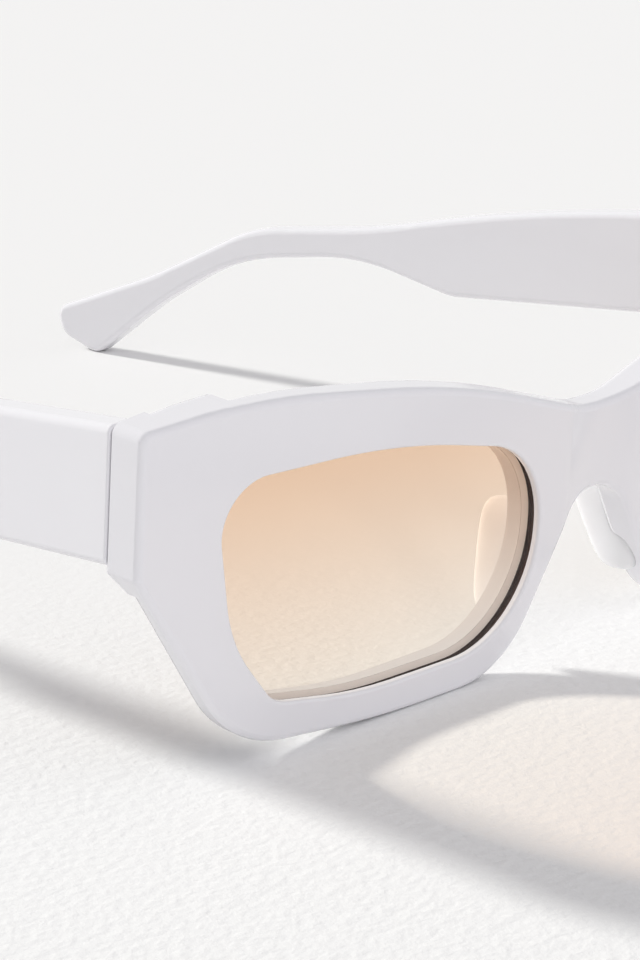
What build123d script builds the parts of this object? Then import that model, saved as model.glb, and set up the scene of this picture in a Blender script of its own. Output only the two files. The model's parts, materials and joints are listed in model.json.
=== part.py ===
"""Cat eye sunglasses with an acetate front and temples, five-barrel hinges and tinted lenses.

They stand open on a flat surface, on their rims and temple tips. +X is the wearer's left, the
front faces -Y, the temples point along +Y, and the origin is on the surface under their middle.
Each paired piece is drawn on the wearer's left and mirrored. Lengths are in millimetres and
angles in degrees.
"""
import os
from math import asin, atan2, cos, degrees, hypot, radians, sin, sqrt, tan

from build123d import *

os.makedirs("parts", exist_ok=True)

# Lens openings and the rims round them, seen square to the front.
lens_width = 48.1  # opening, between its straight nasal side and its outermost point
lens_height = 27.95  # opening
lens_gap = 22.0  # between the two openings, across the nose
rim_below = 3.95  # under the opening
brow_above = 8.05  # over the opening
end_width = 10.55  # from the opening to the end piece's side
bridge_drop = 10.45  # from the brow's top down to the bridge's top
bridge_height = 10.55  # from the bridge's top down to the nose arch
end_drop = 0.85  # from the brow's top down to the end piece's top corner
end_height = 15.5  # end piece, from its top corner to its bottom one
shoulder_out = 15.25  # from the opening's nasal side out to the brow's inner shoulder
shoulder_drop = 3.1  # from the brow's top down to that shoulder
brow_inset = 19.0  # from the end piece's side to where the brow levels off
brow_ease = 5.6943  # how far the rounding there reaches either way
brow_fall = 8.7  # from the end piece's side to where the brow starts to fall
cheek_inset = 13.7  # from the end piece's side to the rim's lower outer corner
cheek_rise = 1.8  # from the rim's lowest run up to that corner
foot_inner = 4.1  # from the opening's nasal side out to where the lowest run starts
foot_outer = 24.0  # and to where it ends
arch_top = 7.9  # width of the nose arch's top
bridge_run = 6.0  # width of the bridge's level top

# The front in plan: a sheet bent about an upright axis, thickest at the bridge.
front_radius = 500.0
back_radius = 900.0
bridge_thickness = 4.8
end_thickness = 4.6  # end piece, where the temple meets it
scoop_width = 13.4  # hollow across the bridge's face
scoop_depth = 0.9
scoop_blend = 5.0
front_edge = 0.8  # rounding of the front's outer edges
back_edge = 1.1
opening_edge = 0.35
butt_edge = 0.3  # easing of the edges where end piece and temple meet
end_slope = 2.2  # how far the end piece's underside drops from the seam to the rim
hinge_pad_inset = 12.6  # hinge pad's inner side, from the end piece's side
hinge_pad_below = 1.5  # how far it runs below the end piece's bottom corner
hinge_pad_corner = 3.0
hinge_pad_edge = 1.4
pad_lap = 0.2  # how far ahead of the sheet's rounded back edge these pads start
front_lean = 4.5  # the brow leans forwards

# Lenses, held in a V groove.
lens_recess = 0.9  # lens face behind the rim's face
lens_thickness = 1.8
bevel = 0.75
lens_fit = 0.05

# Nose pads, glued behind the rims beside the nose arch.
pad_length = 12.5
pad_width = 3.8
pad_reach = 4.6  # how far a pad stands out behind the rim
pad_taper = 0.66  # its crest's size over its foot's
pad_flare = 2.0  # how far its crest leans away from the nose
pad_edge = 0.9
pad_height = 0.58  # how far up the nose arch's side a pad sits, as a share of it
pad_margin = 0.3  # rim left showing beside a pad's foot

# Temples.
temple_height = 14.8  # at the hinge
temple_thickness = 4.0
tip_thickness = 3.4
temple_splay = 3.6  # each temple runs inwards towards its tip
temple_edge = 0.9
temple_top_gap = 0.2  # end piece's top corner over the temple's
seam_gap = 0.1
bend_start = 60.0  # where the blade starts to curve towards the head
bend_inset = 2.7  # and how far its end has curved by then
core_height = 2.2
core_thickness = 1.2
core_fit = 0.05
core_start = 2.0  # from the seam to the core's front end

# Hinges.
knuckle_height = 1.25
knuckle_gap = 0.05
knuckle_radius = 1.5
pin_inset = 2.0  # from the temple's inner face to the pin's axis
screw_radius = 0.6
screw_fit = 0.04
screw_head_radius = 1.1
screw_head_height = 0.5
screw_slot = 0.3
screw_slot_depth = 0.25
screw_seat = 0.02  # screw in the front leaf's knuckles
leaf_thickness = 0.9
front_leaf_width = 2.1
temple_leaf_length = 12.0
stud_radius = 0.5  # studs that anchor the leaves in the acetate
stud_length = 1.6
stud_spacing = 5.2
stud_setback = 4.0  # from the pin to the temple leaf's studs
hinge_fit = 0.05  # leaves and studs in their recesses
knuckle_room = 0.15  # round the knuckles

overrun = 1.0  # how far cutters and raw blanks run past what they shape


def bow(radius, x):
    """How far a bent face has fallen back at x from the middle."""
    return radius - sqrt(radius**2 - x**2)


# Levels and distances that follow from these.
lens_in = lens_gap / 2
lens_out = lens_in + lens_width
lens_low = rim_below
lens_top = lens_low + lens_height
brow_top = lens_top + brow_above
bridge_top = brow_top - bridge_drop
nose_top = bridge_top - bridge_height
half_width = lens_out + end_width
end_top = brow_top - end_drop
end_low = end_top - end_height
seam_depth = bow(front_radius, half_width) + end_thickness
hinge_height = 5 * knuckle_height + 4 * knuckle_gap

# The outer edge of the front's left half: corner points and the radius that rounds each.
nose_foot = lens_in + foot_inner
shoulder = (lens_in + shoulder_out, brow_top - shoulder_drop)
brow_start = half_width - brow_inset
brow_angle = atan2(shoulder_drop, brow_start - shoulder[0])
front_corners = [
    (bridge_run / 2, bridge_top, 15.0),
    (*shoulder, 130.0),
    (brow_start, brow_top, brow_ease / tan(brow_angle / 2)),
    (half_width - brow_fall, brow_top, 60.0),
    (half_width, end_top, 1.2),
    (half_width, end_low, 1.0),
    (half_width - cheek_inset, cheek_rise, 14.0),
    (lens_in + foot_outer, 0.0, 150.0),
    (nose_foot, 0.0, 12.5),
    (arch_top / 2, nose_top, 6.0),
]
# A lens opening's outline: how far each corner lies outwards and up, as shares of the opening's
# width and height, and its radius as a share of the height.
lens_shares = [
    (1.021, 1.0, 0.2075),
    (0.51, 1.0, 3.22),
    (0.0, 0.807, 0.411),
    (0.0, 0.0, 0.451),
    (0.572, 0.0, 2.147),
    (0.83, 0.075, 0.161),
    (0.96, 0.367, 0.644),
]
lens_corners = [
    (lens_in + x * lens_width, lens_low + y * lens_height, radius * lens_height)
    for x, y, radius in lens_shares
]
# A temple's outline, along the blade from the seam and up from its top edge.
blade_start = -4.0
temple_corners = [
    (53.5, 0.0, 300.0),
    (82.9, -4.0, 150.0),
    (106.5, -4.7, 28.0),
    (128.4, -13.2, 80.0),
    (149.5, -19.2, 2.2),
    (148.6, -23.5, 3.0),
    (141.6, -26.8, 3.0),
    (127.0, -17.7, 60.0),
    (110.3, -9.6, 45.0),
    (85.9, -8.4, 42.0),
    (68.8, -13.7, 10.0),
]
blade_end = 152.0
# The core's middle line, in the same coordinates.
core_corners = [
    (60.0, -6.9, 80.0),
    (90.0, -6.4, 60.0),
    (107.5, -7.4, 25.0),
]
core_end = (136.0, -19.0)


def rounded_shape(corners):
    """A flat shape bounded by straight runs and the arcs that round its corners."""
    with BuildSketch() as shape:
        with BuildLine():
            points = [(x, y) for x, y, _ in corners]
            FilletPolyline(*points, radius=[radius for _, _, radius in corners], close=True)
        make_face()
    return shape.sketch


def sheet_back(x):
    """How deep the sheet's back lies at x from the middle."""
    return bridge_thickness + bow(back_radius, x)


def front_shape():
    """Both halves of the front, seen square to it."""
    points = [(0, bridge_top)] + [(x, y) for x, y, _ in front_corners] + [(0, nose_top)]
    with BuildSketch() as shape:
        with BuildLine():
            FilletPolyline(*points, radius=[radius for _, _, radius in front_corners])
            mirror(about=Plane.YZ)
        make_face()
    return shape.sketch


def export(part, name):
    part.label = name
    export_step(part, f"parts/{name}.step")


def export_pair(part, name):
    """The wearer's left piece, and its mirror image as the right one."""
    export(part, f"{name}_left")
    export(mirror(part, about=Plane.YZ), f"{name}_right")


temple_shape = rounded_shape(
    [(blade_start, 0, 0)] + temple_corners + [(blade_start, -temple_height, 0)]
)

# The front leans until the surface touches the rounded lower edge of its rims.
lean_sin = sin(radians(front_lean))
lean_cos = cos(radians(front_lean))
lowest_run = front_shape().edges().filter_by(GeomType.LINE).sort_by(Axis.Y)[0]
lowest_x = min(abs(end.X) for end in lowest_run.vertices())
rim_rise = (bow(front_radius, lowest_x) + front_edge) * lean_sin - front_edge * (1 - lean_cos)
temple_level = end_top - temple_top_gap
root_rise = temple_level * lean_cos + seam_depth * lean_sin - rim_rise
root_back = seam_depth * lean_cos - temple_level * lean_sin

# The temples dip until their heels, the rounded corners under the tips, touch it too.
splay_sin = sin(radians(temple_splay))
splay_cos = cos(radians(temple_splay))
steepness = hypot(splay_cos * lean_sin, lean_cos)
heel = temple_shape.edges().filter_by(GeomType.CIRCLE).sort_by(Axis.Y)[0]
heel_reach = hypot(heel.arc_center.X, heel.arc_center.Y)
heel_angle = atan2(-heel.arc_center.Y, heel.arc_center.X)
temple_slope = asin((root_rise / steepness - heel.radius) / heel_reach) - heel_angle
temple_dip = temple_slope + atan2(splay_cos * lean_sin, lean_cos)

# The directions of the front and of the left temple.
facing = Vector(0, -lean_cos, -lean_sin)
upwards = Vector(0, -lean_sin, lean_cos)
outwards = Vector(splay_cos, 0, 0) - facing * splay_sin
backwards = Vector(-splay_sin, 0, 0) - facing * splay_cos
along = backwards * cos(temple_dip) - upwards * sin(temple_dip)
across = backwards * sin(temple_dip) + upwards * cos(temple_dip)

# The front stands as far before the origin as the temples reach behind it.
tip = temple_shape.edges().filter_by(GeomType.CIRCLE).sort_by(Axis.X)[-1]
tip_back = root_back + tip.arc_center.X * along.Y + tip.arc_center.Y * across.Y + tip.radius
brow_back = bow(front_radius, shoulder[0]) * lean_cos - shoulder[1] * lean_sin
front_y = -(tip_back + brow_back) / 2

# The front's frame: x to the wearer's left, y up along it, z out of its face; and the same in
# plan, with y backwards and z up.
front_face = Plane(origin=(0, front_y, -rim_rise), x_dir=(1, 0, 0), z_dir=facing)
plan = Plane(origin=front_face.origin, x_dir=(1, 0, 0), z_dir=upwards)
forwards = Axis(front_face.origin, facing)

# The left temple's frame: x along the blade, y up across it, z out of its outer face; and the
# same in plan, with y towards the head.
temple_top = front_face.from_local_coords((half_width, temple_level, -seam_depth))
blade = Plane(origin=temple_top, x_dir=along, z_dir=outwards)
blade_plan = Plane(origin=temple_top, x_dir=along, z_dir=across)

# The hinge's frame: z up the pin, x to the wearer's left, y backwards. The temple's leaf lies in
# a frame turned about the pin, with x square to the blade's inner face.
pin_x = half_width - (temple_thickness + pin_inset) / splay_cos
pin = front_face.from_local_coords((pin_x, temple_level - temple_height / 2, -seam_depth))
hinge = Plane(origin=pin, x_dir=(1, 0, 0), z_dir=upwards)
temple_hinge = Plane(origin=pin, x_dir=outwards, z_dir=upwards)
leaf_outer = knuckle_radius + knuckle_room + front_leaf_width
leaf_start = 0.25  # the temple leaf's front end, behind the pin
knuckle_step = knuckle_height + knuckle_gap


def temple_plan(outer, inner):
    """A blade seen from above; each side is given by its place at the root and at the end."""
    with BuildSketch() as shape:
        with BuildLine():
            for root, end in (outer, inner):
                Line((blade_start, root), (bend_start, root))
                TangentArc((bend_start, root), (blade_end, end), tangent=(1, 0))
            Line((blade_start, outer[0]), (blade_start, inner[0]))
            Line((blade_end, outer[1]), (blade_end, inner[1]))
        make_face()
    return shape.sketch


def temple_core(start, growth):
    """The flat core inside a temple, or with some growth the cutter for its channel."""
    side = (temple_thickness - core_thickness) / 2 - growth
    end_side = bend_inset + (tip_thickness - core_thickness) / 2 - growth
    depth = core_thickness + 2 * growth
    points = [(start, -temple_height / 2)] + [(x, y) for x, y, _ in core_corners] + [core_end]
    with BuildPart() as core:
        with BuildSketch(blade):
            with BuildLine() as middle:
                FilletPolyline(*points, radius=[radius for _, _, radius in core_corners])
            trace(middle.line, line_width=core_height + 2 * growth)
        extrude(amount=-temple_thickness - bend_inset)
        with BuildSketch(blade_plan.offset(-2 * temple_height)):
            add(temple_plan((side, end_side), (side + depth, end_side + depth)))
        extrude(amount=3 * temple_height, mode=Mode.INTERSECT)
    return core.part


def border(faces):
    """The edges round a group of faces, without those that two of them share."""
    edges = [edge for face in faces for edge in face.edges()]
    return ShapeList(edge for edge in edges if edges.count(edge) == 1)


def looking(faces, direction):
    """The faces that look within 25 degrees of a direction."""
    return faces.filter_by(lambda face: face.normal_at().get_angle(direction) < 25)


def bent_sheet(front_arc, back_arc):
    """A sheet seen in plan, between two arcs given as (radius, depth at the middle)."""
    reach = half_width + overrun
    with BuildSketch() as shape:
        with BuildLine():
            ends = [depth + bow(radius, reach) for radius, depth in (front_arc, back_arc)]
            for (_, depth), end in zip((front_arc, back_arc), ends):
                ThreePointArc((-reach, end), (0, depth), (reach, end))
            for x in (-reach, reach):
                Line((x, ends[0]), (x, ends[1]))
        make_face()
    return shape.sketch


def lens_blank(growth):
    """The left lens with its V edge, or with some growth the cutter for its groove."""
    face_radius = front_radius - lens_recess + growth
    back_face_radius = front_radius - lens_recess - lens_thickness - growth
    with BuildPart() as blank:
        with BuildSketch(plan):
            add(bent_sheet(
                (face_radius, lens_recess - growth),
                (back_face_radius, lens_recess + lens_thickness + growth),
            ))
        extrude(amount=brow_top)
        with BuildSketch(front_face):
            add(rounded_shape(lens_corners))
            offset(amount=bevel + growth)
        extrude(amount=-seam_depth, mode=Mode.INTERSECT)
        bent_faces = blank.faces().sort_by(SortBy.AREA)[-2:]
        chamfer(border(bent_faces), length=bevel)
    return blank.part


# Where each leaf's studs stand: the leaf's frame, their place in it, and the way they point.
front_studs = (hinge, (-leaf_outer + front_leaf_width / 2, -leaf_thickness), facing)
temple_studs = (temple_hinge, (pin_inset + leaf_thickness, stud_setback), outwards)


def studs(leaf, place, direction, growth):
    """The studs that anchor a leaf, or with some growth the cutter for their holes."""
    with BuildPart() as pair:
        for level in (-stud_spacing / 2, stud_spacing / 2):
            root = leaf.from_local_coords((*place, level))
            with BuildSketch(Plane(origin=root, z_dir=direction)):
                Circle(stud_radius + growth)
            extrude(amount=stud_length + growth)
    return pair.part


with BuildPart() as hinge_recess:
    # The front leaf's plate and studs, and room for the knuckles and the screw's head to turn.
    with BuildSketch(hinge.offset(-hinge_height / 2 - hinge_fit)):
        Rectangle(
            leaf_outer + hinge_fit, leaf_thickness + hinge_fit, align=(Align.MAX, Align.MAX)
        )
    extrude(amount=hinge_height + 2 * hinge_fit)
    with BuildSketch(hinge.offset(-hinge_height / 2 - knuckle_room)):
        Circle(knuckle_radius + knuckle_room)
    extrude(amount=hinge_height + screw_head_height + 2 * knuckle_room)
    add(studs(*front_studs, hinge_fit))

with BuildPart() as end_blocks:
    # The end pieces run back to the seams, as thick as the temples, and slope below them. Their
    # outer edges are eased at the seam.
    block_in = half_width - temple_thickness - butt_edge
    block_root = sheet_back(block_in) - back_edge - pad_lap
    block_side = front_face.from_local_coords((block_in, 0, 0))
    with BuildSketch(Plane(origin=block_side, x_dir=-facing, z_dir=(1, 0, 0))):
        Polygon(
            (block_root, brow_top),
            (seam_depth, brow_top),
            (seam_depth, end_low),
            (sheet_back(half_width), end_low - end_slope),
            (block_root, end_low - end_slope),
            align=None,
        )
    extrude(amount=temple_thickness + butt_edge)
    mirror(about=Plane.YZ)
    with BuildSketch(front_face):
        add(front_shape())
    extrude(amount=-seam_depth, mode=Mode.INTERSECT)
    block_backs = looking(end_blocks.faces(), -facing)
    chamfer(block_backs.edges().filter_by(GeomType.CIRCLE), length=butt_edge)

with BuildPart() as hinge_pads:
    # The rounded swellings beside them that carry the hinges.
    with BuildSketch(front_face.offset(-seam_depth)) as pad_shape:
        with Locations((half_width - temple_thickness, end_low - hinge_pad_below)):
            Rectangle(
                hinge_pad_inset - temple_thickness,
                brow_top - end_low + hinge_pad_below,
                align=(Align.MAX, Align.MIN),
            )
        fillet(pad_shape.vertices().sort_by(lambda v: v.X + v.Y)[0], radius=hinge_pad_corner)
        mirror(about=Plane.YZ)
        add(front_shape(), mode=Mode.INTERSECT)
    pad_root = sheet_back(half_width - hinge_pad_inset) - back_edge - pad_lap
    extrude(amount=seam_depth - pad_root)
    pad_backs = looking(hinge_pads.faces(), -facing).edges()
    fillet(pad_backs.sort_by(lambda edge: abs(edge.center().X))[:-2], radius=hinge_pad_edge)

with BuildPart() as frame_front:
    # The bent sheet, hollowed across the bridge, and cut to the outline.
    with BuildSketch(plan.offset(-overrun)) as sheet:
        add(bent_sheet((front_radius, 0), (back_radius, bridge_thickness)))
        scoop_radius = (scoop_width**2 / 4 + scoop_depth**2) / (2 * scoop_depth)
        with Locations((0, scoop_depth - scoop_radius)):
            Circle(scoop_radius, mode=Mode.SUBTRACT)
        scoop_ends = sheet.vertices().sort_by(lambda v: abs(v.X))[:2]
        fillet(scoop_ends, radius=scoop_blend)
    extrude(amount=brow_top + 2 * overrun)
    with BuildSketch(front_face):
        add(front_shape())
    extrude(amount=-seam_depth - overrun, mode=Mode.INTERSECT)
    fillet(border(looking(frame_front.faces(), facing)), radius=front_edge)
    fillet(border(looking(frame_front.faces(), -facing)), radius=back_edge)

    add([end_blocks.part, hinge_pads.part])

    # The lens openings and the grooves that hold the lenses.
    with BuildSketch(front_face):
        add(rounded_shape(lens_corners))
        mirror(about=Plane.YZ)
    extrude(amount=-seam_depth, mode=Mode.SUBTRACT)
    rims = looking(frame_front.faces(), facing)
    opening_edges = [edge for rim in rims for wire in rim.inner_wires() for edge in wire.edges()]
    fillet(opening_edges, radius=opening_edge)
    groove = lens_blank(lens_fit)
    add([groove, mirror(groove, about=Plane.YZ)], mode=Mode.SUBTRACT)

    add([hinge_recess.part, mirror(hinge_recess.part, about=Plane.YZ)], mode=Mode.SUBTRACT)
export(frame_front.part, "frame_front")

export_pair(lens_blank(0), "lens")

with BuildPart() as nose_pad:
    nose_line = Vector(front_corners[-1][0] - nose_foot, nose_top, 0)
    away = Vector(nose_line.Y, -nose_line.X, 0).normalized()
    foot = Vector(nose_foot, 0, 0) + nose_line * pad_height + away * (pad_width / 2 + pad_margin)
    crest = foot + away * pad_flare
    slope = degrees(atan2(nose_line.Y, nose_line.X))
    with BuildSketch(front_face.offset(back_edge - bridge_thickness)):
        with Locations(foot):
            SlotOverall(pad_length, pad_width, rotation=slope)
    with BuildSketch(front_face.offset(-bridge_thickness - pad_reach)):
        with Locations(crest):
            SlotOverall(pad_length * pad_taper, pad_width * pad_taper, rotation=slope)
    loft()
    fillet(nose_pad.faces().sort_by(forwards)[0].edges(), radius=pad_edge)
    add(frame_front.part, mode=Mode.SUBTRACT)
export_pair(nose_pad.part, "nose_pad")

with BuildPart() as temple:
    with BuildSketch(blade):
        add(temple_shape)
    extrude(amount=-temple_thickness - bend_inset)
    with BuildSketch(blade_plan.offset(-2 * temple_height)):
        add(temple_plan((0, bend_inset), (temple_thickness, bend_inset + tip_thickness)))
    extrude(amount=3 * temple_height, mode=Mode.INTERSECT)
    flanks = looking(temple.faces(), outwards) + looking(temple.faces(), -outwards)
    long_edges = border(flanks).filter_by(lambda e: blade.to_local_coords(e.center()).X > 0)
    fillet(long_edges, radius=temple_edge)
    seam = front_face.offset(-seam_depth - seam_gap)
    split(bisect_by=seam, keep=Keep.BOTTOM)
    fillet(temple.faces().sort_by(forwards)[-1].edges(), radius=butt_edge)
    # A channel for the core, open at the butt, and a recess for the hinge leaf and its studs.
    add(temple_core(blade_start, core_fit), mode=Mode.SUBTRACT)
    with BuildSketch(temple_hinge.offset(-hinge_height / 2 - hinge_fit)):
        with Locations((pin_inset + leaf_thickness + hinge_fit, temple_leaf_length + hinge_fit)):
            Rectangle(
                2 * leaf_thickness, 2 * temple_leaf_length, align=(Align.MAX, Align.MAX)
            )
    extrude(amount=hinge_height + 2 * hinge_fit, mode=Mode.SUBTRACT)
    add(studs(*temple_studs, hinge_fit), mode=Mode.SUBTRACT)
export_pair(temple.part, "temple")
export_pair(temple_core(core_start, 0), "temple_core")

with BuildPart() as front_leaf:
    with BuildSketch(hinge.offset(-hinge_height / 2)):
        with Locations((-leaf_outer, 0)):
            Rectangle(front_leaf_width, leaf_thickness, align=(Align.MIN, Align.MAX))
    extrude(amount=hinge_height)
    for k in (0, 2, 4):
        with BuildSketch(hinge.offset(-hinge_height / 2 + k * knuckle_step)):
            Circle(knuckle_radius)
            Rectangle(leaf_outer, leaf_thickness, align=(Align.MAX, Align.MAX))
            Circle(screw_radius + screw_seat, mode=Mode.SUBTRACT)
        extrude(amount=knuckle_height)
    add(studs(*front_studs, 0))
export_pair(front_leaf.part, "hinge_front_leaf")

with BuildPart() as temple_leaf:
    with BuildSketch(temple_hinge.offset(-hinge_height / 2)):
        with Locations((pin_inset, leaf_start)):
            Rectangle(
                leaf_thickness, temple_leaf_length - leaf_start, align=(Align.MIN, Align.MIN)
            )
    extrude(amount=hinge_height)
    for k in (1, 3):
        with BuildSketch(temple_hinge.offset(-hinge_height / 2 + k * knuckle_step)):
            Circle(knuckle_radius)
            with Locations((0, leaf_start)):
                Rectangle(
                    pin_inset + leaf_thickness,
                    knuckle_radius - leaf_start,
                    align=(Align.MIN, Align.MIN),
                )
            Circle(screw_radius + screw_fit, mode=Mode.SUBTRACT)
        extrude(amount=knuckle_height)
    add(studs(*temple_studs, 0))
export_pair(temple_leaf.part, "hinge_temple_leaf")

with BuildPart() as hinge_screw:
    with BuildSketch(hinge.offset(-hinge_height / 2)):
        Circle(screw_radius)
    extrude(amount=hinge_height)
    with BuildSketch(hinge.offset(hinge_height / 2)):
        Circle(screw_head_radius)
    extrude(amount=screw_head_height)
    with BuildSketch(hinge.offset(hinge_height / 2 + screw_head_height)):
        Rectangle(2 * screw_head_radius + overrun, screw_slot)
    extrude(amount=-screw_slot_depth, mode=Mode.SUBTRACT)
export_pair(hinge_screw.part, "hinge_screw")
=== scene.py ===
# Cat eye sunglasses with a white acetate front and temples and tinted lenses, standing open.
import json
from math import cos, pi, radians, sin

import bpy
from mathutils import Matrix, Vector


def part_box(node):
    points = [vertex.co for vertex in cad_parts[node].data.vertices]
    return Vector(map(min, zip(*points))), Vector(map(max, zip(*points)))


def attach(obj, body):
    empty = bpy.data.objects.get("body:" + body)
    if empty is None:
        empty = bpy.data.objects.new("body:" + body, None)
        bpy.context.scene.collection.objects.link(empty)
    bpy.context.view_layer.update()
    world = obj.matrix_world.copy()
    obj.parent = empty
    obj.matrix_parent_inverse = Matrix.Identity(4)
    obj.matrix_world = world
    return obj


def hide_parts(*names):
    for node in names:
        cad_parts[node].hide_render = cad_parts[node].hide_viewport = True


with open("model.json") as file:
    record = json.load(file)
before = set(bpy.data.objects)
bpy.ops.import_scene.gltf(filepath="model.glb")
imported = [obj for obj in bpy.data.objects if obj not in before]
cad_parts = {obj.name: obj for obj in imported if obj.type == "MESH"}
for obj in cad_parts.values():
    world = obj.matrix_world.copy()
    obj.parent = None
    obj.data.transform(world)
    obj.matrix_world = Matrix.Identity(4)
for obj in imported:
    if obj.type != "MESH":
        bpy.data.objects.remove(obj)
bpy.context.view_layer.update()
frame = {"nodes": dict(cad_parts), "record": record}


# The table: a sheet of matt white drawing paper, far larger than the glasses. Its felt side has
# a fine irregular tooth that catches the low light and dies away towards the back.
paper_span = 6.0
paper_white = (0.905, 0.905, 0.902, 1)
paper_shade = (0.863, 0.863, 0.863, 1)
paper_roughness = 0.92
paper_gloss = 0.15
tooth_density = 760.0
swell_density = 200.0
tooth_share = 0.7  # the tooth's part of the relief; the slower swell has the rest
tooth_depth = 0.0003
paper_back = (0.736, 0.677, 0.0)  # the way to the back
tooth_full = -0.08  # how far back the tooth starts to die away
tooth_gone = 0.01  # and how far back it ends
tooth_least = 0.1  # what is left of it there


class Shade:
    """A shader's output, from which sums and products are made."""

    def __init__(self, finish, socket):
        self.finish = finish
        self.socket = socket

    def maths(self, operation, *values):
        return self.finish.node(
            "ShaderNodeMath", {"operation": operation}, dict(enumerate(values)))

    def __add__(self, other):
        return self.maths("ADD", self, other)

    def __sub__(self, other):
        return self.maths("SUBTRACT", self, other)

    def __rsub__(self, other):
        return self.maths("SUBTRACT", other, self)

    def __mul__(self, other):
        return self.maths("MULTIPLY", self, other)

    def __truediv__(self, other):
        return self.maths("DIVIDE", self, other)

    def __pow__(self, power):
        return self.maths("POWER", self, power)

    def __gt__(self, limit):
        return self.maths("GREATER_THAN", self, limit)

    def __abs__(self):
        return self.maths("ABSOLUTE", self)

    __radd__ = __add__
    __rmul__ = __mul__


class Finish:
    """A material, or a room's light, that is built up node by node."""

    def __init__(self, owner):
        owner.use_nodes = True
        self.owner = owner
        self.tree = owner.node_tree
        self.tree.nodes.clear()

    def node(self, kind, settings=None, inputs=None, output=0):
        """Adds one node: its settings first, then the values or links of its sockets."""
        made = self.tree.nodes.new(kind)
        for name, value in (settings or {}).items():
            setattr(made, name, value)
        for name, value in (inputs or {}).items():
            if isinstance(value, Shade):
                self.tree.links.new(value.socket, made.inputs[name])
            else:
                made.inputs[name].default_value = value
        return Shade(self, made.outputs[output]) if made.outputs else None


def coordinates(finish):
    """The place on a piece, in metres, in the frame that all the pieces share."""
    return finish.node("ShaderNodeTexCoord", output="Object")


def noise(finish, place, scale, detail=2.0, roughness=0.5):
    """Even random clouds; the scale is in clouds per metre."""
    return finish.node("ShaderNodeTexNoise", None, {
        "Vector": place, "Scale": scale, "Detail": detail, "Roughness": roughness})


def blend(finish, share, first, second):
    """Mixes two colours by a share."""
    return finish.node(
        "ShaderNodeMix", {"data_type": "RGBA"}, {0: share, 6: first, 7: second}, output=2)


paper = Finish(bpy.data.materials.new("drawing_paper"))
place = coordinates(paper)
tooth = noise(paper, place, tooth_density, 3.0)
swell = noise(paper, place, swell_density)
back = paper.node(
    "ShaderNodeVectorMath", {"operation": "DOT_PRODUCT"}, {0: place, 1: paper_back},
    output="Value")
strength = paper.node("ShaderNodeMapRange", {"interpolation_type": "SMOOTHSTEP"}, {
    "Value": back, "From Min": tooth_full, "From Max": tooth_gone,
    "To Min": 1.0, "To Max": tooth_least})
uneven = tooth * tooth_share + swell * (1 - tooth_share)
relief = paper.node("ShaderNodeBump", None, {
    "Strength": 1.0, "Distance": tooth_depth, "Height": uneven * strength})
grain = (tooth - 0.5) * strength + 0.5
body = paper.node("ShaderNodeBsdfPrincipled", None, {
    "Base Color": blend(paper, grain, paper_shade, paper_white),
    "Roughness": paper_roughness, "Specular IOR Level": paper_gloss, "Normal": relief})
paper.node("ShaderNodeOutputMaterial", None, {"Surface": body})

bpy.ops.object.select_all(action="DESELECT")
bpy.ops.mesh.primitive_plane_add(size=paper_span, location=(0, 0, 0))
table = bpy.context.object
table.name = "table_paper"
table.data.materials.append(paper.owner)


# The light: a distant lamp behind the glasses and above them, whose soft-edged shadows fall
# towards the viewer, in an even pale room that is a little brighter in front of them.
lamp_azimuth = radians(-12)
lamp_height = radians(27)
lamp_spread = radians(7)
lamp_strength = 3.0
lamp_white = (1.0, 0.995, 0.95)
room_even = 0.355
room_front = 0.72
room_white = (0.985, 0.975, 1.0, 1)
room_seen_white = (0.875, 0.875, 0.875, 1)
front_side = Vector((0, -0.93, 0.36)).normalized()  # the way to the brighter side

towards_lamp = Vector((
    sin(lamp_azimuth) * cos(lamp_height), cos(lamp_azimuth) * cos(lamp_height),
    sin(lamp_height)))
lamp_data = bpy.data.lights.new("window_lamp", "SUN")
lamp_data.energy = lamp_strength
lamp_data.angle = lamp_spread
lamp_data.color = lamp_white
lamp = bpy.data.objects.new("window_lamp", lamp_data)
lamp.visible_glossy = False
lamp.location = towards_lamp
lamp.rotation_euler = towards_lamp.to_track_quat("Z", "Y").to_euler()
bpy.context.scene.collection.objects.link(lamp)

room = Finish(bpy.data.worlds.new("pale_room"))
direction = room.node("ShaderNodeTexCoord", output="Generated")
frontness = room.node(
    "ShaderNodeVectorMath", {"operation": "DOT_PRODUCT"}, {0: direction, 1: front_side},
    output="Value")
brighter = frontness.maths("MAXIMUM", frontness, 0.0) * room_front + room_even
room_light = room.node("ShaderNodeBackground", None, {"Color": room_white, "Strength": brighter})
room_seen = room.node("ShaderNodeBackground", None, {"Color": room_seen_white})
seen = room.node("ShaderNodeLightPath", output="Is Camera Ray")
mirrored = room.node("ShaderNodeLightPath", output="Is Glossy Ray")
both = room.node("ShaderNodeMixShader", None, {0: seen + mirrored, 1: room_light, 2: room_seen})
room.node("ShaderNodeOutputWorld", None, {"Surface": both})
bpy.context.scene.world = room.owner


# The view: from the wearer's right, in front and a little above, close to the right lens.
view_place = (-0.24853, -0.26118, 0.11294)
view_turn = radians(47.402)
view_dip = radians(16.797)
view_lens = 104.4

view_data = bpy.data.cameras.new("view")
view_data.lens = view_lens
view_data.sensor_width = 36.0
view_data.clip_start = 0.01
view = bpy.data.objects.new("view", view_data)
view.location = view_place
view.rotation_euler = (pi / 2 - view_dip, 0, -view_turn)
bpy.context.scene.collection.objects.link(view)
bpy.context.scene.camera = view
bpy.context.scene.view_settings.view_transform = "Standard"


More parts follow.
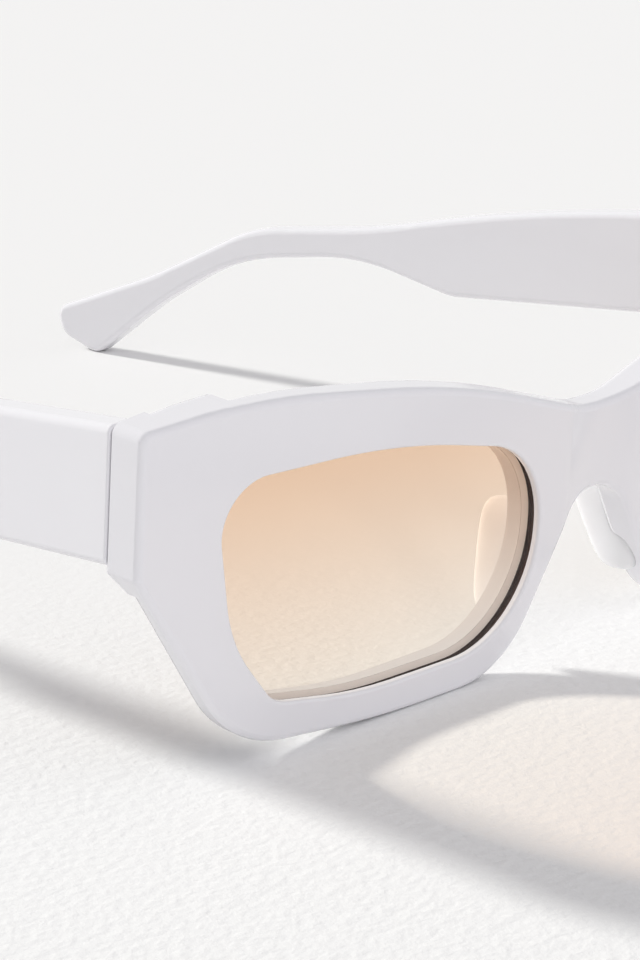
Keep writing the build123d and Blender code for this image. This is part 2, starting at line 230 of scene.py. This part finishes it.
# The front: one sheet of white cellulose acetate, cut to shape with its edges rounded, then
# tumbled to a deep even gloss. Tumbling leaves the polish very slightly wavy.
acetate_white = (0.825, 0.817, 0.848, 1)
acetate_shade = (0.812, 0.806, 0.84, 1)
acetate_index = 1.49
acetate_roughness = 0.12
acetate_haze = 0.08  # how much the roughness varies
acetate_coat = 0.4
coat_roughness = 0.06
cloud_density = 45.0
haze_density = 400.0
wave_density = 110.0
wave_strength = 0.08
wave_depth = 0.0002

acetate = Finish(bpy.data.materials.new("white_acetate"))
place = coordinates(acetate)
cloud = noise(acetate, place, cloud_density)
haze = noise(acetate, place, haze_density, 3.0)
tumbled = noise(acetate, place, wave_density, 1.0, 0.3)
wave = acetate.node("ShaderNodeBump", None, {
    "Strength": wave_strength, "Distance": wave_depth, "Height": tumbled})
body = acetate.node("ShaderNodeBsdfPrincipled", None, {
    "Base Color": blend(acetate, cloud, acetate_shade, acetate_white),
    "Roughness": haze * acetate_haze + acetate_roughness, "IOR": acetate_index,
    "Coat Weight": acetate_coat, "Coat Roughness": coat_roughness, "Normal": wave})
acetate.node("ShaderNodeOutputMaterial", None, {"Surface": body})
frame["nodes"]["frame_front"].material_slots[0].material = acetate.owner


# The lenses: clear nylon, dipped to a tint that fades from peach at the top to cream at the
# bottom, with a thin polished gloss. Their ground edges sit in the rims' grooves: the front of
# an edge is painted dark brown as painted shade of the groove's shadow, and the rest is pale.
tint_top = (0.95, 0.795, 0.665, 1)  # of one face; the other face tints the light again
tint_bottom = (0.99, 0.965, 0.925, 1)
gloss_index = 1.5
gloss_roughness = 0.02
# painted shade: the groove's shadow seen through the lens, painted dark brown on the front of the
# edge
groove_painted_shade = (0.035, 0.015, 0.01, 1)
edge_cream = (1.0, 0.95, 0.93, 1)
edge_roughness = 0.5
edge_gloss = 0.15
painted_shade_reach = 0.00215  # how far behind the front's face the painted shade of the groove ends
face_level = -0.07502  # middle of the front's face, along the lens's axis
face_cosine = 0.9  # a surface more askew to that axis than this is the edge
front_bend = 0.5  # radius of the front's curve
lens_low, lens_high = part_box("lens_left")
pin_axis = frame["record"]["behaviour"]["joints"][0]["axis"]
lens_axis = (0.0, pin_axis[2], -pin_axis[1])

tinted = Finish(bpy.data.materials.new("graded_lens"))
place = coordinates(tinted)
height = tinted.node("ShaderNodeSeparateXYZ", None, {0: place}, output="Z")
fade = (height - lens_low.z) / (lens_high.z - lens_low.z)
clear_top = tinted.node("ShaderNodeBsdfTransparent", None, {"Color": tint_top})
clear_bottom = tinted.node("ShaderNodeBsdfTransparent", None, {"Color": tint_bottom})
clear = tinted.node("ShaderNodeMixShader", None, {0: fade, 1: clear_bottom, 2: clear_top})
gloss = tinted.node("ShaderNodeBsdfGlossy", None, {"Roughness": gloss_roughness})
grazing = tinted.node("ShaderNodeLayerWeight", None, {"Blend": 0.5}, output="Facing")
head_on = ((gloss_index - 1) / (gloss_index + 1)) ** 2
mirror = grazing ** 5 * (1 - head_on) + head_on
face = tinted.node("ShaderNodeMixShader", None, {0: mirror, 1: clear, 2: gloss})
turned = tinted.node("ShaderNodeTexCoord", output="Normal")
squareness = tinted.node(
    "ShaderNodeVectorMath", {"operation": "DOT_PRODUCT"}, {0: turned, 1: lens_axis},
    output="Value")
sideways = tinted.node("ShaderNodeSeparateXYZ", None, {0: place}, output="X")
level = tinted.node(
    "ShaderNodeVectorMath", {"operation": "DOT_PRODUCT"}, {0: place, 1: lens_axis},
    output="Value")
bow = front_bend - (front_bend ** 2 - sideways * sideways) ** 0.5
depth = level - face_level - bow
# The edge's surface: pale, with a band of painted shade at its front where the groove's shadow
# shows.
edge_with_painted_shade = tinted.node("ShaderNodeBsdfPrincipled", None, {
    "Base Color": blend(tinted, painted_shade_reach - depth > 0.0, edge_cream, groove_painted_shade),
    "Roughness": edge_roughness, "Specular IOR Level": edge_gloss})
edge = face_cosine - abs(squareness) > 0.0
body = tinted.node("ShaderNodeMixShader", None, {0: edge, 1: face, 2: edge_with_painted_shade})
tinted.node("ShaderNodeOutputMaterial", None, {"Surface": body})
for name in ("lens_left", "lens_right"):
    frame["nodes"][name].material_slots[0].material = tinted.owner


# The nose pads: two slim fins of the same acetate, cemented behind the rims on either side of the
# nose arch and polished into them. They are thin enough to let a little light through.
pad_length = 0.0235
pad_width = 0.0044
pad_depth = 0.0069  # the root sunk in the rim and the fin behind it
pad_sunk = 0.0024
pad_crest = (0.60, 0.42, 1.0)  # the crest's size over the root's
pad_lean = 0.0010  # the crest leans towards the nose
pad_turn = radians(11)  # it stands more upright than the root
pad_tilt = radians(14)  # and falls away towards the foot
pad_place = (0.0110, 0.0170, 0.0048)  # out, up and behind the middle of the front's face
pad_slope = radians(30.5)  # how far the nose arch's side leans from upright
pad_smoothness = 3
pad_white = (0.91, 0.905, 0.95, 1)
pad_roughness = 0.15
pad_haze = 0.1  # how much the roughness varies
pad_haze_density = 500.0
pad_milkiness = 0.85
pad_radius = (1.0, 0.97, 0.97)
pad_scatter = 0.003

milky = Finish(bpy.data.materials.new("milky_acetate"))
haze = noise(milky, coordinates(milky), pad_haze_density)
body = milky.node("ShaderNodeBsdfPrincipled", None, {
    "Base Color": pad_white, "Roughness": haze * pad_haze + pad_roughness,
    "IOR": acetate_index, "Subsurface Weight": pad_milkiness,
    "Subsurface Radius": pad_radius, "Subsurface Scale": pad_scatter})
milky.node("ShaderNodeOutputMaterial", None, {"Surface": body})

bpy.ops.object.select_all(action="DESELECT")
bpy.ops.mesh.primitive_cube_add(size=1, location=(0, 0, pad_depth / 2 - pad_sunk),
                                scale=(pad_length, pad_width, pad_depth))
pad = bpy.context.object
bpy.ops.object.transform_apply(location=True, rotation=True, scale=True)
for side in pad.data.polygons:
    side.select = side.normal.z > 0.5
bpy.ops.object.mode_set(mode="EDIT")
crest = (0, 0, pad_depth - pad_sunk)
# Without a window, rotate turns the other way round.
bpy.ops.transform.resize(value=pad_crest, center_override=crest)
bpy.ops.transform.rotate(value=-pad_turn, orient_axis="Z", center_override=crest)
bpy.ops.transform.rotate(value=pad_tilt, orient_axis="Y", center_override=crest)
bpy.ops.transform.translate(value=(0, -pad_lean, 0))
bpy.ops.mesh.select_all(action="SELECT")
bpy.ops.mesh.subdivide(number_cuts=1)
bpy.ops.object.mode_set(mode="OBJECT")
smoothing = pad.modifiers.new("smoothing", "SUBSURF")
smoothing.levels = smoothing.render_levels = pad_smoothness
bpy.ops.object.modifier_apply(modifier="smoothing")
bpy.ops.object.shade_smooth()

backwards = Vector(lens_axis)
upwards = Vector(pin_axis)
along = upwards * cos(pad_slope) - Vector((sin(pad_slope), 0, 0))
turn = Matrix((along, backwards.cross(along), backwards)).transposed()
pad.rotation_euler = turn.to_euler()
pad.location = (
    backwards * (face_level + pad_place[2]) + upwards * pad_place[1]
    + Vector((pad_place[0], 0, 0)))
bpy.ops.object.transform_apply(location=True, rotation=True, scale=True)
pad.name = "nose_fin_left"
pad.data.materials.append(milky.owner)

bpy.ops.object.duplicate()
twin = bpy.context.object
twin.name = "nose_fin_right"
twin.scale = (-1, 1, 1)
bpy.ops.object.transform_apply(location=True, rotation=True, scale=True)
bpy.ops.object.mode_set(mode="EDIT")
bpy.ops.mesh.select_all(action="SELECT")
bpy.ops.mesh.normals_make_consistent(inside=False)
bpy.ops.object.mode_set(mode="OBJECT")

for piece, node in ((pad, "nose_pad_left"), (twin, "nose_pad_right")):
    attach(piece, "front")
    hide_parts(node)


# The temples: cut from thinner sheets of the same white acetate, bent behind the ears, and
# tumbled with the front.
for name in ("temple_left", "temple_right"):
    frame["nodes"][name].material_slots[0].material = acetate.owner


# The cores inside the temples: flat wire of drawn steel, shot into the warmed acetate. The die
# leaves fine lines along it.
wire_grey = (0.66, 0.66, 0.67, 1)
wire_roughness = 0.35
wire_lines = (3000.0, 200.0, 3000.0)  # how many lines cross a metre along X, Y, Z
line_strength = 0.15
line_depth = 0.00005
line_roughness = 0.12  # how much the roughness varies with the lines


def metal(name, colour, roughness, lines):
    """A metal finish with fine tool lines."""
    finish = Finish(bpy.data.materials.new(name))
    stretched = finish.node("ShaderNodeVectorMath", {"operation": "MULTIPLY"}, {
        0: coordinates(finish), 1: lines})
    brushed = noise(finish, stretched, 1.0)
    relief = finish.node("ShaderNodeBump", None, {
        "Strength": line_strength, "Distance": line_depth, "Height": brushed})
    body = finish.node("ShaderNodeBsdfPrincipled", None, {
        "Base Color": colour, "Metallic": 1.0,
        "Roughness": brushed * line_roughness + roughness, "Normal": relief})
    finish.node("ShaderNodeOutputMaterial", None, {"Surface": body})
    return finish.owner


wire = metal("drawn_wire", wire_grey, wire_roughness, wire_lines)
for name in ("temple_core_left", "temple_core_right"):
    frame["nodes"][name].material_slots[0].material = wire


# The hinges: a three-barrel leaf on each end piece and a two-barrel leaf on each temple, milled
# from nickel silver and sunk into the acetate by their studs.
silver = (0.72, 0.69, 0.62, 1)
silver_roughness = 0.28
silver_lines = (900.0, 900.0, 3000.0)

milled = metal("nickel_silver", silver, silver_roughness, silver_lines)
for leaf in ("hinge_front_leaf", "hinge_temple_leaf"):
    for side in ("left", "right"):
        frame["nodes"][f"{leaf}_{side}"].material_slots[0].material = milled


# The hinge screws: turned steel, polished, with a slotted head on top.
steel = (0.78, 0.78, 0.80, 1)
steel_roughness = 0.16
steel_lines = (2500.0, 2500.0, 2500.0)

turned_steel = metal("polished_steel", steel, steel_roughness, steel_lines)
for name in ("hinge_screw_left", "hinge_screw_right"):
    frame["nodes"][name].material_slots[0].material = turned_steel
